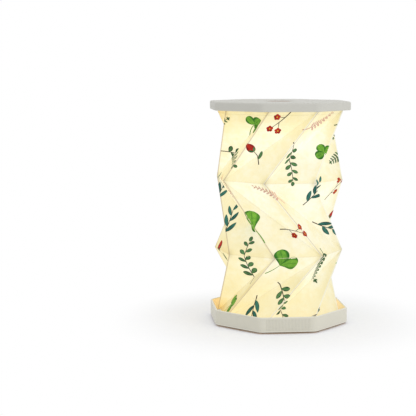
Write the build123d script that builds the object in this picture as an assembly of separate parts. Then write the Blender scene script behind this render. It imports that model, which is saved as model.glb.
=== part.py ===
from build123d import *
from math import cos, radians, sin, tan
import os

# Folding octagonal paper lantern, modelled standing open and lit, in millimetres and degrees.
# The origin is under the middle of the base, on the surface that the lantern stands on.
# +Z is up and the front flat of the base faces -Y. A turn is counted from the front,
# anticlockwise seen from above, so 90 degrees is +X and 180 degrees is the back.

# Octagonal outline of the lid, which the base tray follows a little further in
SIDES = 8
ACROSS_FLATS = 120.0
CORNER_RADIUS = 9.0

# Base tray and its feet
TRAY_INSET = 0.8
TRAY_HEIGHT = 13.8
TRAY_WALL = 1.6
TRAY_FLOOR = 2.4
TRAY_RIM_CHAMFER = 0.5
TRAY_FOOT_CHAMFER = 1.0
FLUTE_PITCH = 1.25
FLUTE_DEPTH = 0.18
FLUTE_RADIUS = 1.0
FLUTE_MARGIN = 1.2
FOOT_COUNT = 4
FOOT_DIAMETER = 11.0
FOOT_PROUD = 0.8
FOOT_SUNK = 0.6
FOOT_CIRCLE = 44.0
FOOT_EDGE = 0.3
FOOT_FIT = 0.05

# Paper shade: three storeys of a twisted eight-sided prism that fold alternate ways.
# The rises and turns are those of the open lantern, from the base up.
SHADE_CLEARANCE = 0.1
STOREY_RISES = (61.5, 64.0, 62.4)
STOREY_TURNS = (55.5, -54.2, 49.0)
PAPER_INSET = 0.6
HEM_THICKNESS = 0.4
HEM_WIDTH = 8.5
HEM_CLEARANCE = 0.3

# Rings that clamp the two hems of the shade
RING_THICKNESS = 1.4
RING_WIDTH = 5.0
RING_EDGE_GAP = 1.0
RING_CORNER_RADIUS = 8.0
RING_SCREWS = 4

# Lid shell
LID_HEIGHT = 7.3
LID_TOP = 2.0
LID_WALL = 2.4
LID_CHAMFER = 0.9
LID_LOWER_CHAMFER = 0.4
SEAT_HEIGHT = 3.4
SEAT_RIB = 1.6
SEAT_NOTCH_GAP = 1.0

# Screws and the holes that take them
SCREW_DIAMETER = 2.0
SCREW_SHANK = 4.0
SCREW_HEAD_DIAMETER = 3.8
SCREW_HEAD_HEIGHT = 1.3
SCREW_CLEARANCE = 0.2
PILOT_CLEARANCE = 0.05
BOSS_DIAMETER = 5.6
SMALL_SCREW_DIAMETER = 1.4
SMALL_SCREW_SHANK = 2.2
SMALL_SCREW_HEAD_DIAMETER = 2.6
SMALL_SCREW_HEAD_HEIGHT = 0.9
POST_DIAMETER = 3.0

# Magnets in the corners that hold the folded lantern shut
MAGNET_COUNT = 4
MAGNET_DIAMETER = 3.0
MAGNET_HEIGHT = 3.0
MAGNET_SUNK = 0.2
MAGNET_CLEARANCE = 0.05
MAGNET_WALL = 0.7

# Power button in the middle of the lid
BUTTON_DIAMETER = 24.0
BUTTON_THICKNESS = 1.6
BUTTON_SUNK = 0.2
BUTTON_BEVEL_WIDTH = 1.6
BUTTON_BEVEL_HEIGHT = 0.4
BUTTON_SIDE_GAP = 0.3
BUTTON_HOLE_CHAMFER = 1.0
BUTTON_TRAVEL = 0.6
CARRIER_FLANGE = 0.9
CARRIER_FLANGE_THICKNESS = 1.0
CARRIER_STOP_GAP = 0.05
CARRIER_STEM_DIAMETER = 5.0
CARRIER_STEM_LENGTH = 0.4

# Switch under the button
SWITCH_WIDTH = 6.0
SWITCH_HEIGHT = 2.0
SWITCH_WELL = 1.4
SWITCH_CORNER = 0.5
PLUNGER_DIAMETER = 3.2
PLUNGER_SIDE_GAP = 0.2
PLUNGER_FLOOR_GAP = 0.1

# Circuit boards
BOARD_THICKNESS = 1.0
CONTROL_BOARD_GAP = 0.6
CONTROL_POSTS = 3
CONTROL_POST_INSET = 2.8
CHARGE_BOARD_WIDTH = 16.0
CHARGE_BOARD_LENGTH = 21.9
CHARGE_BOARD_WALL_GAP = 0.7
CHARGE_POST_SPACING = 10.0
CHARGE_POST_INSET = 3.0

# Charging socket in the back of the lid
SOCKET_WIDTH = 8.94
SOCKET_HEIGHT = 3.2
SOCKET_DEPTH = 6.9
SOCKET_SHELL = 0.3
SOCKET_SUNK = 0.2
SOCKET_SLOT_GAP = 0.15
SOCKET_ROOF_GAP = 0.15
TONGUE_WIDTH = 6.7
TONGUE_THICKNESS = 0.7
TONGUE_LENGTH = 4.4

# Battery cells beside the lamp cup
CELL_THICKNESS = 4.8
CELL_EDGE = 1.2
CELL_SIDE_GAP = 1.3
CELL_END_GAP = 1.5
PAD_THICKNESS = 0.5
PAD_MARGIN = 1.2

# Inner cover that closes the lid from below
COVER_RING_GAP = 2.5
COVER_PLATE = 1.4
COVER_RIM = 1.4
COVER_CORNER_RADIUS = 8.0
COVER_ROOM = 5.9
COVER_RIM_GAP = 0.6
COVER_SCREWS = 4
COVER_SCREW_INSET = 4.0

# Lamp cup, its lights and its diffuser
CUP_DIAMETER = 40.0
CUP_WALL = 1.4
CUP_DROP = 8.0
CUP_FLANGE = 2.0
CUP_FLANGE_THICKNESS = 1.2
CUP_FIT = 0.1
CUP_WEB = 1.2
CUP_WEB_DEPTH = 1.2
LED_COUNT = 8
LED_CIRCLE = 11.0
LED_LENGTH = 3.5
LED_WIDTH = 2.8
LED_HEIGHT = 0.7
DIFFUSER_THICKNESS = 1.2
DIFFUSER_LIP = 0.8
DIFFUSER_FIT = 0.1
DIFFUSER_EDGE = 0.5

# Insulated leads inside the lid: flat twin leads to the boards and round ones to the lights
TWIN_LEAD_WIDTH = 2.0
TWIN_LEAD_THICKNESS = 1.0
TWIN_LEAD_STUB = 2.6
TWIN_LEAD_BEND = 2.0
TWIN_LEAD_CELL_INSET = 2.0
TWIN_LEAD_BOARD_INSET = 2.7
LIGHT_LEAD_DIAMETER = 1.2
LIGHT_LEAD_SPACING = 2.6
LIGHT_LEAD_PLACE = 10.0

# Angles that follow from the number of sides
WEDGE = 360.0 / SIDES
FRONT_CORNER = WEDGE / 2

# Heights that follow from the sizes above
tray_bottom = FOOT_PROUD
tray_rim = tray_bottom + TRAY_HEIGHT
floor_top = tray_bottom + TRAY_FLOOR
lower_hem = floor_top + HEM_CLEARANCE
shade_bottom = lower_hem + HEM_THICKNESS
shade_top = shade_bottom + sum(STOREY_RISES)
seat_bottom = shade_top + HEM_THICKNESS + HEM_CLEARANCE
lid_ceiling = seat_bottom + SEAT_HEIGHT
lid_crown = lid_ceiling + LID_TOP
lid_bottom = lid_crown - LID_HEIGHT
cover_top = lid_ceiling - COVER_ROOM
cover_bottom = cover_top - COVER_PLATE
cup_bottom = cover_top - CUP_DROP
web_bottom = cover_top - CUP_WEB_DEPTH - CUP_WEB
led_board_bottom = web_bottom - BOARD_THICKNESS
button_bottom = lid_crown - BUTTON_SUNK - BUTTON_THICKNESS
flange_top = lid_ceiling - CARRIER_STOP_GAP
flange_bottom = flange_top - CARRIER_FLANGE_THICKNESS
plunger_top = flange_bottom - CARRIER_STEM_LENGTH
switch_top = plunger_top - BUTTON_TRAVEL - PLUNGER_FLOOR_GAP
control_board_top = switch_top - SWITCH_HEIGHT
control_board_bottom = control_board_top - BOARD_THICKNESS
socket_middle = lid_ceiling - SOCKET_ROOF_GAP - SOCKET_HEIGHT / 2

# Turn of the shade's top ring, and the size of its rings, which turn inside the tray
shade_twist = sum(STOREY_TURNS)
top_corner = FRONT_CORNER + shade_twist
tray_apothem = ACROSS_FLATS / 2 - TRAY_INSET
shade_radius = tray_apothem - TRAY_WALL - SHADE_CLEARANCE
shade_apothem = shade_radius * cos(radians(WEDGE / 2))
hem_inner = shade_apothem - HEM_WIDTH
magnet_boss = MAGNET_DIAMETER + 2 * MAGNET_WALL


def around(turn, radius, height=0.0):
    """Place a piece at a turn from the front, a radius and a height."""
    return Pos(radius * sin(radians(turn)), -radius * cos(radians(turn)), height)


def turns(count, start):
    """List evenly spaced turns."""
    return [start + 360.0 / count * step for step in range(count)]


def group(pieces):
    """Gather separate solids of one node."""
    return Compound(children=list(pieces))


def octagon(apothem, corner_radius=0.0, corner_turn=FRONT_CORNER):
    """Draw a regular polygon by its apothem, with round corners, one of them at a given turn."""
    outline = RegularPolygon(apothem, SIDES, major_radius=False, rotation=corner_turn - 90)
    if corner_radius > 0:
        outline = fillet(outline.vertices(), corner_radius)
    return outline


def prism(sketch, bottom, top):
    """Extrude a flat sketch between two heights."""
    return extrude(Pos(0, 0, bottom) * sketch, amount=top - bottom)


def disc(diameter, bottom, top):
    """Make a round bar about the vertical axis between two heights."""
    return prism(Circle(diameter / 2), bottom, top)


def edges_at(solid, height):
    """Pick the edges that lie at one height."""
    return solid.edges().filter_by_position(Axis.Z, height, height)


def corner_radius_at(apothem):
    """Keep the corners of an inner or outer outline concentric with the outside of the lantern."""
    return CORNER_RADIUS - (ACROSS_FLATS / 2 - apothem)


def magnet_circle():
    """Set the magnet bosses into the corners of both walls, just clear of their outsides."""
    corner_centre = (ACROSS_FLATS / 2 - CORNER_RADIUS) / cos(radians(WEDGE / 2))
    return corner_centre + CORNER_RADIUS - LID_WALL / 2 - magnet_boss / 2


def ring_apothem(rise, turn):
    """Size a hem ring so that it clears the facets that lean in over it."""
    lean = (shade_apothem - shade_radius * cos(radians(WEDGE / 2 + abs(turn)))) / rise
    return shade_apothem - PAPER_INSET - lean * (HEM_CLEARANCE + RING_THICKNESS) - RING_EDGE_GAP


lower_ring_apothem = ring_apothem(STOREY_RISES[0], STOREY_TURNS[0])
upper_ring_apothem = ring_apothem(STOREY_RISES[-1], STOREY_TURNS[-1])

# Inner cover inside the upper hem ring, and the cells between its rim and the lamp cup
cover_apothem = upper_ring_apothem - RING_WIDTH - COVER_RING_GAP
cover_inner = cover_apothem - COVER_RIM
cup_inner_radius = CUP_DIAMETER / 2 - CUP_WALL
flange_radius = CUP_DIAMETER / 2 + CUP_FLANGE
cell_width = cover_inner - flange_radius - 2 * CELL_SIDE_GAP
cell_length = 2 * cover_inner * tan(radians(WEDGE / 2)) - CELL_END_GAP
cell_middle = flange_radius + CELL_SIDE_GAP + cell_width / 2

# Boards: the control board inside the lamp cup, the charging board against the back wall
control_board_radius = cup_inner_radius - CONTROL_BOARD_GAP
charge_board_back = ACROSS_FLATS / 2 - LID_WALL - CHARGE_BOARD_WALL_GAP
charge_board_front = charge_board_back - CHARGE_BOARD_LENGTH


def places(count, start, radius):
    """List evenly spaced (turn, radius) places on one circle."""
    return [(turn, radius) for turn in turns(count, start)]


foot_places = places(FOOT_COUNT, WEDGE, FOOT_CIRCLE)
tray_magnet_places = places(MAGNET_COUNT, FRONT_CORNER, magnet_circle())
lid_magnet_places = places(MAGNET_COUNT, FRONT_CORNER + WEDGE, magnet_circle())
lower_screw_places = places(RING_SCREWS, 0.0, lower_ring_apothem - RING_WIDTH / 2)
upper_screw_places = places(RING_SCREWS, shade_twist, upper_ring_apothem - RING_WIDTH / 2)
cover_screw_places = places(COVER_SCREWS, WEDGE, cover_inner - COVER_SCREW_INSET)
control_post_places = places(CONTROL_POSTS, 0.0, control_board_radius - CONTROL_POST_INSET)


def bars(bar_places, diameter, bottom, top):
    """Make round bars at (turn, radius) places between two heights, to add as bosses or cut as holes."""
    return [around(turn, radius, bottom) * extrude(Circle(diameter / 2), amount=top - bottom)
            for turn, radius in bar_places]


def copies(piece, piece_places, height):
    """Repeat a piece at (turn, radius) places, at one height, as separate solids."""
    return group(around(turn, radius, height) * piece for turn, radius in piece_places)


def screw(diameter, shank, head_diameter, head_height):
    """Make a plain cheese-head screw that points up, with its head's bearing face at height zero."""
    head = extrude(Circle(head_diameter / 2), amount=-head_height)
    return head + extrude(Circle(diameter / 2), amount=shank)


def large_screw():
    """Make one of the screws that hold the rings and the inner cover."""
    return screw(SCREW_DIAMETER, SCREW_SHANK, SCREW_HEAD_DIAMETER, SCREW_HEAD_HEIGHT)


def small_screw():
    """Make one of the screws that hold a board."""
    return screw(SMALL_SCREW_DIAMETER, SMALL_SCREW_SHANK, SMALL_SCREW_HEAD_DIAMETER, SMALL_SCREW_HEAD_HEIGHT)


def make_flutes():
    """Make the cutters of the fine upright flutes on the tray's front flat."""
    side = 2 * (ACROSS_FLATS / 2 - CORNER_RADIUS) * tan(radians(WEDGE / 2))
    count = int((side - 2 * FLUTE_MARGIN) / FLUTE_PITCH)
    first = -(count - 1) / 2 * FLUTE_PITCH
    height = TRAY_HEIGHT - TRAY_RIM_CHAMFER - TRAY_FOOT_CHAMFER - 2 * FLUTE_MARGIN
    bottom = tray_bottom + TRAY_FOOT_CHAMFER + FLUTE_MARGIN
    cutter = extrude(Circle(FLUTE_RADIUS), amount=height)
    middle = -tray_apothem - FLUTE_RADIUS + FLUTE_DEPTH
    return [Pos(first + step * FLUTE_PITCH, middle, bottom) * cutter for step in range(count)]


def make_feet():
    """Make the rubber pads let into the underside of the tray."""
    pad = extrude(Circle(FOOT_DIAMETER / 2), amount=FOOT_PROUD + FOOT_SUNK)
    pad = chamfer(pad.edges().group_by(Axis.Z)[0], FOOT_EDGE)
    return copies(pad, foot_places, 0.0)


def make_tray():
    """Make the octagonal tray that the shade folds down into."""
    inner = tray_apothem - TRAY_WALL
    tray = prism(octagon(tray_apothem, corner_radius_at(tray_apothem)), tray_bottom, tray_rim)
    tray = chamfer(edges_at(tray, tray_rim), TRAY_RIM_CHAMFER)
    tray = chamfer(edges_at(tray, tray_bottom), TRAY_FOOT_CHAMFER)
    tray -= prism(octagon(inner, corner_radius_at(inner)), floor_top, tray_rim)
    tray += bars(tray_magnet_places, magnet_boss, floor_top, tray_rim)
    pocket_bottom = tray_rim - MAGNET_SUNK - MAGNET_HEIGHT
    tray -= bars(tray_magnet_places, MAGNET_DIAMETER + 2 * MAGNET_CLEARANCE, pocket_bottom, tray_rim)
    tray -= bars(foot_places, FOOT_DIAMETER + 2 * FOOT_FIT, tray_bottom, tray_bottom + FOOT_SUNK)
    tray -= make_flutes()
    shank_tip = shade_bottom + HEM_CLEARANCE + RING_THICKNESS - SCREW_SHANK
    pilot = SCREW_DIAMETER + 2 * PILOT_CLEARANCE
    return tray - bars(lower_screw_places, pilot, shank_tip - PILOT_CLEARANCE, floor_top)


def make_magnets(magnet_places, bottom):
    """Make one ring of corner magnets."""
    return copies(extrude(Circle(MAGNET_DIAMETER / 2), amount=MAGNET_HEIGHT), magnet_places, bottom)


def make_hem_ring(apothem, corner_turn, screw_places, bottom):
    """Make one flat octagonal ring that clamps a hem of the shade."""
    outer = octagon(apothem, RING_CORNER_RADIUS, corner_turn)
    inner = octagon(apothem - RING_WIDTH, RING_CORNER_RADIUS - RING_WIDTH, corner_turn)
    ring = prism(outer - inner, bottom, bottom + RING_THICKNESS)
    return ring - bars(screw_places, SCREW_DIAMETER + 2 * SCREW_CLEARANCE, bottom, bottom + RING_THICKNESS)


def shade_rings(radius):
    """List the corner points of the four rings of the shade, from the base up."""
    rings = []
    height = shade_bottom
    corner = FRONT_CORNER
    for rise, turn in zip(STOREY_RISES + (0.0,), STOREY_TURNS + (0.0,)):
        rings.append([around(corner + WEDGE * step, radius, height).position for step in range(SIDES)])
        height += rise
        corner += turn
    return rings


def storey_facets(lower, upper, turn):
    """List the triangles of a storey: a mountain fold joins like corners, a valley fold the next ones."""
    facets = []
    for step in range(SIDES):
        following = (step + 1) % SIDES
        if turn > 0:
            facets.append((lower[step], upper[step], upper[following]))
            facets.append((lower[step], lower[following], upper[following]))
        else:
            facets.append((lower[step], lower[following], upper[step]))
            facets.append((lower[following], upper[step], upper[following]))
    return facets


def make_shade():
    """Make the folded paper wall with the hems that turn in at its two ends."""
    outer = shade_rings(shade_radius)
    inner = shade_rings(shade_radius - PAPER_INSET)
    polygons = []
    for wall in (outer, inner):
        for lower, upper, turn in zip(wall[:-1], wall[1:], STOREY_TURNS):
            polygons += storey_facets(lower, upper, turn)
    for outside, inside in ((outer[0], inner[0]), (outer[-1], inner[-1])):
        for step in range(SIDES):
            following = (step + 1) % SIDES
            polygons.append((outside[step], outside[following], inside[following], inside[step]))
    faces = [Face(Wire.make_polygon(points, close=True)) for points in polygons]
    shade = Solid(Shell(faces))
    lower_plate = octagon(shade_apothem) - octagon(hem_inner)
    upper_plate = octagon(shade_apothem, 0.0, top_corner) - octagon(hem_inner, 0.0, top_corner)
    hole = SCREW_DIAMETER + 2 * HEM_CLEARANCE
    lower = prism(lower_plate, lower_hem, shade_bottom)
    lower -= bars(lower_screw_places, hole, lower_hem, shade_bottom)
    upper = prism(upper_plate, shade_top, shade_top + HEM_THICKNESS)
    upper -= bars(upper_screw_places, hole, shade_top, shade_top + HEM_THICKNESS)
    return Part() + shade + lower + upper


def charge_posts():
    """List the (x, y) places of the two posts that carry the charging board."""
    return [(side * CHARGE_POST_SPACING / 2, charge_board_front + CHARGE_POST_INSET) for side in (-1, 1)]


def make_hem_seat():
    """Make the two ribs under the lid that the upper hem bears on, open at the back for the socket."""
    ribs = []
    for apothem in (upper_ring_apothem, upper_ring_apothem - RING_WIDTH + SEAT_RIB):
        outline = octagon(apothem, 0.0, top_corner) - octagon(apothem - SEAT_RIB, 0.0, top_corner)
        ribs.append(prism(outline, seat_bottom, lid_ceiling))
    notch = Pos(0, ACROSS_FLATS / 2, (seat_bottom + lid_ceiling) / 2) * Box(
        CHARGE_BOARD_WIDTH + 2 * SEAT_NOTCH_GAP, ACROSS_FLATS / 2, lid_ceiling - seat_bottom)
    return ribs[0] + ribs[1] - notch


def make_lid():
    """Make the lid shell with its button hole, hem seat, bosses, posts and socket slot."""
    inner = ACROSS_FLATS / 2 - LID_WALL
    lid = prism(octagon(ACROSS_FLATS / 2, CORNER_RADIUS), lid_bottom, lid_crown)
    lid = chamfer(edges_at(lid, lid_crown), LID_CHAMFER)
    lid = chamfer(edges_at(lid, lid_bottom), LID_LOWER_CHAMFER)
    lid -= prism(octagon(inner, corner_radius_at(inner)), lid_bottom, lid_ceiling)
    lid += make_hem_seat()
    lid += bars(upper_screw_places, BOSS_DIAMETER, seat_bottom, lid_ceiling)
    lid += bars(cover_screw_places, BOSS_DIAMETER, cover_top, lid_ceiling)
    lid += bars(lid_magnet_places, magnet_boss, lid_bottom, lid_ceiling)
    board_top = socket_middle + BOARD_THICKNESS / 2
    for x, y in charge_posts():
        lid += Pos(x, y, board_top) * extrude(Circle(POST_DIAMETER / 2), amount=lid_ceiling - board_top)
    return lid - lid_cuts()


def lid_cuts():
    """Gather the holes of the lid shell: button, socket slot, pilots and magnet pockets."""
    hole_radius = BUTTON_DIAMETER / 2 + BUTTON_SIDE_GAP
    slot = socket_plane(ACROSS_FLATS / 2) * socket_outline(SOCKET_SLOT_GAP)
    cuts = [
        disc(2 * hole_radius, lid_ceiling, lid_crown),
        Pos(0, 0, lid_crown - BUTTON_HOLE_CHAMFER / 2) * Cone(
            hole_radius, hole_radius + BUTTON_HOLE_CHAMFER, BUTTON_HOLE_CHAMFER),
        extrude(slot, amount=2 * LID_WALL, both=True),
    ]
    pilot = SCREW_DIAMETER + 2 * PILOT_CLEARANCE
    ring_tip = shade_top - HEM_CLEARANCE - RING_THICKNESS + SCREW_SHANK + PILOT_CLEARANCE
    cover_tip = cover_bottom + SCREW_SHANK + PILOT_CLEARANCE
    cuts += bars(upper_screw_places, pilot, seat_bottom, ring_tip)
    cuts += bars(cover_screw_places, pilot, cover_top, cover_tip)
    pocket = MAGNET_DIAMETER + 2 * MAGNET_CLEARANCE
    cuts += bars(lid_magnet_places, pocket, lid_bottom, lid_bottom + MAGNET_SUNK + MAGNET_HEIGHT)
    board_top = socket_middle + BOARD_THICKNESS / 2
    charge_tip = board_top - BOARD_THICKNESS + SMALL_SCREW_SHANK + PILOT_CLEARANCE
    for x, y in charge_posts():
        cutter = extrude(Circle(SMALL_SCREW_DIAMETER / 2 + PILOT_CLEARANCE), amount=charge_tip - board_top)
        cuts.append(Pos(x, y, board_top) * cutter)
    return cuts


def socket_plane(y):
    """Stand a sketch upright across the back of the lid, at the socket's height."""
    return Plane(origin=(0, y, socket_middle), x_dir=(1, 0, 0), z_dir=(0, -1, 0))


def socket_outline(growth):
    """Draw the flat-sided oval of the charging socket, grown all round."""
    return SlotOverall(SOCKET_WIDTH + 2 * growth, SOCKET_HEIGHT + 2 * growth)


def make_socket():
    """Make the charging socket: an oval metal shell, closed at the back, around a contact tongue."""
    mouth = ACROSS_FLATS / 2 - SOCKET_SUNK
    shell = extrude(socket_plane(mouth) * socket_outline(0.0), amount=SOCKET_DEPTH)
    shell -= extrude(socket_plane(mouth) * socket_outline(-SOCKET_SHELL), amount=SOCKET_DEPTH - SOCKET_SHELL)
    tongue_end = mouth - SOCKET_DEPTH + SOCKET_SHELL
    tongue = Pos(0, tongue_end + TONGUE_LENGTH / 2, socket_middle) * Box(
        TONGUE_WIDTH, TONGUE_LENGTH, TONGUE_THICKNESS)
    return shell + tongue


def make_charge_board():
    """Make the charging board, cut out at the back for the socket let into it."""
    board = Pos(0, charge_board_back - CHARGE_BOARD_LENGTH / 2, socket_middle) * Box(
        CHARGE_BOARD_WIDTH, CHARGE_BOARD_LENGTH, BOARD_THICKNESS)
    socket_front = ACROSS_FLATS / 2 - SOCKET_SUNK - SOCKET_DEPTH - SOCKET_SLOT_GAP
    board -= Pos(0, (socket_front + charge_board_back) / 2, socket_middle) * Box(
        SOCKET_WIDTH + 2 * SOCKET_SLOT_GAP, charge_board_back - socket_front, BOARD_THICKNESS)
    for x, y in charge_posts():
        board -= Pos(x, y, socket_middle) * Cylinder(
            SMALL_SCREW_DIAMETER / 2 + SCREW_CLEARANCE, BOARD_THICKNESS)
    return board


def make_charge_screws():
    """Make the small screws that hold the charging board up against its posts."""
    bearing_height = socket_middle - BOARD_THICKNESS / 2
    return group(Pos(x, y, bearing_height) * small_screw() for x, y in charge_posts())


def make_control_board():
    """Make the round board that carries the switch."""
    board = disc(2 * control_board_radius, control_board_bottom, control_board_top)
    hole = SMALL_SCREW_DIAMETER + 2 * SCREW_CLEARANCE
    return board - bars(control_post_places, hole, control_board_bottom, control_board_top)


def make_switch():
    """Make the switch body with the well that its plunger travels in."""
    body = Pos(0, 0, control_board_top) * extrude(Rectangle(SWITCH_WIDTH, SWITCH_WIDTH), amount=SWITCH_HEIGHT)
    body = chamfer(body.edges().filter_by(Axis.Z), SWITCH_CORNER)
    return body - disc(PLUNGER_DIAMETER + 2 * PLUNGER_SIDE_GAP, switch_top - SWITCH_WELL, switch_top)


def make_plunger():
    """Make the plunger that stands in the switch and meets the button carrier."""
    bottom = switch_top - SWITCH_WELL + BUTTON_TRAVEL + PLUNGER_FLOOR_GAP
    plunger = disc(PLUNGER_DIAMETER, bottom, plunger_top)
    return chamfer(edges_at(plunger, bottom), PLUNGER_SIDE_GAP)


def make_button():
    """Make the round wooden cap with its wide, shallow bevel."""
    cap = disc(BUTTON_DIAMETER, button_bottom, button_bottom + BUTTON_THICKNESS)
    rim = edges_at(cap, button_bottom + BUTTON_THICKNESS)
    face = cap.faces().sort_by(Axis.Z)[-1]
    return chamfer(rim, BUTTON_BEVEL_WIDTH, BUTTON_BEVEL_HEIGHT, reference=face)


def make_carrier():
    """Make the carrier under the cap, with the flange that stops it under the lid."""
    hole = BUTTON_DIAMETER + 2 * BUTTON_SIDE_GAP
    carrier = disc(hole + 2 * CARRIER_FLANGE, flange_bottom, flange_top)
    carrier += disc(BUTTON_DIAMETER, flange_top, button_bottom)
    return carrier + disc(CARRIER_STEM_DIAMETER, plunger_top, flange_bottom)


def make_cells():
    """Make the two flat battery cells, one on each side of the lamp cup."""
    cell = extrude(Rectangle(cell_width, cell_length), amount=CELL_THICKNESS)
    cell = fillet(cell.edges().filter_by(Axis.Y), CELL_EDGE)
    bottom = lid_ceiling - PAD_THICKNESS - CELL_THICKNESS
    return group(Pos(side * cell_middle, 0, bottom) * cell for side in (-1, 1))


def make_pads():
    """Make the foam pads that stick the cells to the lid."""
    pad = extrude(Rectangle(cell_width - 2 * PAD_MARGIN, cell_length - 2 * PAD_MARGIN), amount=PAD_THICKNESS)
    return group(Pos(side * cell_middle, 0, lid_ceiling - PAD_THICKNESS) * pad for side in (-1, 1))


def make_cover():
    """Make the shallow octagonal dish that closes the lid around the lamp cup."""
    rim_top = socket_middle - BOARD_THICKNESS / 2 - COVER_RIM_GAP
    cover = prism(octagon(cover_apothem, COVER_CORNER_RADIUS), cover_bottom, rim_top)
    cover -= prism(octagon(cover_inner, COVER_CORNER_RADIUS - COVER_RIM), cover_top, rim_top)
    cover -= disc(CUP_DIAMETER + 2 * CUP_FIT, cover_bottom, cover_top)
    return cover - bars(cover_screw_places, SCREW_DIAMETER + 2 * SCREW_CLEARANCE, cover_bottom, cover_top)


def lead_places():
    """List the (x, y) places of the two leads down to the lights."""
    return [(side * LIGHT_LEAD_SPACING / 2, LIGHT_LEAD_PLACE) for side in (-1, 1)]


def make_cup():
    """Make the lamp cup: a tube with a flange that rests on the cover and a web between the two boards."""
    web_top = web_bottom + CUP_WEB
    cup = disc(2 * flange_radius, cover_top, cover_top + CUP_FLANGE_THICKNESS)
    cup += disc(CUP_DIAMETER, cup_bottom, cover_top)
    cup -= disc(2 * cup_inner_radius, web_top, cover_top + CUP_FLANGE_THICKNESS)
    cup -= disc(2 * cup_inner_radius, cup_bottom, web_bottom)
    cup -= disc(2 * (cup_inner_radius + DIFFUSER_LIP), cup_bottom, cup_bottom + DIFFUSER_THICKNESS)
    for x, y in lead_places():
        cup -= Pos(x, y, web_bottom) * extrude(
            Circle(LIGHT_LEAD_DIAMETER / 2 + SCREW_CLEARANCE), amount=CUP_WEB)
    cup += bars(control_post_places, POST_DIAMETER, web_top, control_board_bottom)
    pilot = SMALL_SCREW_DIAMETER + 2 * PILOT_CLEARANCE
    pilot_bottom = control_board_top - SMALL_SCREW_SHANK - PILOT_CLEARANCE
    return cup - bars(control_post_places, pilot, pilot_bottom, control_board_bottom)


def make_led_board():
    """Make the round board of lights, bonded under the web of the cup."""
    return disc(2 * cup_inner_radius - 2 * CUP_FIT, led_board_bottom, web_bottom)


def make_leds():
    """Make the ring of lights that shine down."""
    chip = extrude(Rectangle(LED_LENGTH, LED_WIDTH), amount=-LED_HEIGHT)
    return group(
        around(turn, LED_CIRCLE, led_board_bottom) * Rot(0, 0, turn) * chip for turn in turns(LED_COUNT, 0.0))


def make_diffuser():
    """Make the frosted disc in the mouth of the cup."""
    diameter = 2 * (cup_inner_radius + DIFFUSER_LIP - DIFFUSER_FIT)
    lens = disc(diameter, cup_bottom, cup_bottom + DIFFUSER_THICKNESS)
    return chamfer(edges_at(lens, cup_bottom), DIFFUSER_EDGE)


def twin_lead(points, width_along):
    """Sweep a flat twin lead along straight runs joined by arcs, with its width along one direction."""
    route = FilletPolyline(*points, radius=TWIN_LEAD_BEND)
    heading = Vector(*points[1]) - Vector(*points[0])
    section = Plane(origin=points[0], x_dir=width_along, z_dir=heading)
    return sweep(section * Rectangle(TWIN_LEAD_WIDTH, TWIN_LEAD_THICKNESS), path=route)


def make_battery_leads():
    """Make the level lead from each battery cell to the front of the charging board."""
    pieces = []
    for side in (-1, 1):
        start_x = side * (flange_radius + CELL_SIDE_GAP + TWIN_LEAD_CELL_INSET)
        end_x = side * (CHARGE_BOARD_WIDTH / 2 - TWIN_LEAD_BOARD_INSET)
        points = [
            (start_x, cell_length / 2, socket_middle),
            (start_x, cell_length / 2 + TWIN_LEAD_STUB, socket_middle),
            (end_x, charge_board_front - TWIN_LEAD_STUB, socket_middle),
            (end_x, charge_board_front, socket_middle),
        ]
        pieces.append(twin_lead(points, (0, 0, 1)))
    return group(pieces)


def make_control_lead():
    """Make the lead from the charging board over the cup's flange to the control board."""
    landing = cup_inner_radius - TWIN_LEAD_STUB
    points = [
        (0, charge_board_front, socket_middle),
        (0, landing, socket_middle),
        (0, landing, control_board_top),
    ]
    return twin_lead(points, (1, 0, 0))


def make_led_leads():
    """Make the two straight leads from the control board through the cup's web to the lights."""
    lead = extrude(Circle(LIGHT_LEAD_DIAMETER / 2), amount=control_board_bottom - web_bottom)
    return group(Pos(x, y, web_bottom) * lead for x, y in lead_places())


def build_nodes():
    """Build every piece of the lantern by name."""
    lower_ring_bottom = shade_bottom + HEM_CLEARANCE
    upper_ring_bottom = shade_top - HEM_CLEARANCE - RING_THICKNESS
    downward = Rot(180, 0, 0)
    return {
        "base_tray": make_tray(),
        "base_feet": make_feet(),
        "base_magnets": make_magnets(tray_magnet_places, tray_rim - MAGNET_SUNK - MAGNET_HEIGHT),
        "lower_hem_ring": make_hem_ring(
            lower_ring_apothem, FRONT_CORNER, lower_screw_places, lower_ring_bottom),
        "lower_ring_screws": copies(
            downward * large_screw(), lower_screw_places, lower_ring_bottom + RING_THICKNESS),
        "paper_shade": make_shade(),
        "lid_shell": make_lid(),
        "lid_magnets": make_magnets(lid_magnet_places, lid_bottom + MAGNET_SUNK),
        "upper_hem_ring": make_hem_ring(
            upper_ring_apothem, top_corner, upper_screw_places, upper_ring_bottom),
        "upper_ring_screws": copies(large_screw(), upper_screw_places, upper_ring_bottom),
        "inner_cover": make_cover(),
        "cover_screws": copies(large_screw(), cover_screw_places, cover_bottom),
        "control_board": make_control_board(),
        "control_board_screws": copies(downward * small_screw(), control_post_places, control_board_top),
        "switch_body": make_switch(),
        "charging_board": make_charge_board(),
        "charging_board_screws": make_charge_screws(),
        "charging_socket": make_socket(),
        "battery_cells": make_cells(),
        "battery_pads": make_pads(),
        "battery_leads": make_battery_leads(),
        "control_lead": make_control_lead(),
        "led_leads": make_led_leads(),
        "lamp_cup": make_cup(),
        "led_board": make_led_board(),
        "led_chips": make_leds(),
        "diffuser": make_diffuser(),
        "power_button": make_button(),
        "button_carrier": make_carrier(),
        "switch_plunger": make_plunger(),
    }


os.makedirs("parts", exist_ok=True)
for name, piece in build_nodes().items():
    export_step(piece, f"parts/{name}.step")
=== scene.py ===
"""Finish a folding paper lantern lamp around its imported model.

The lamp is an octagonal tray and an octagonal lid joined by a printed paper wall that folds
down like a bellows. Sizes inside the classes are millimetres; meshes are written in metres.
"""

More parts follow.
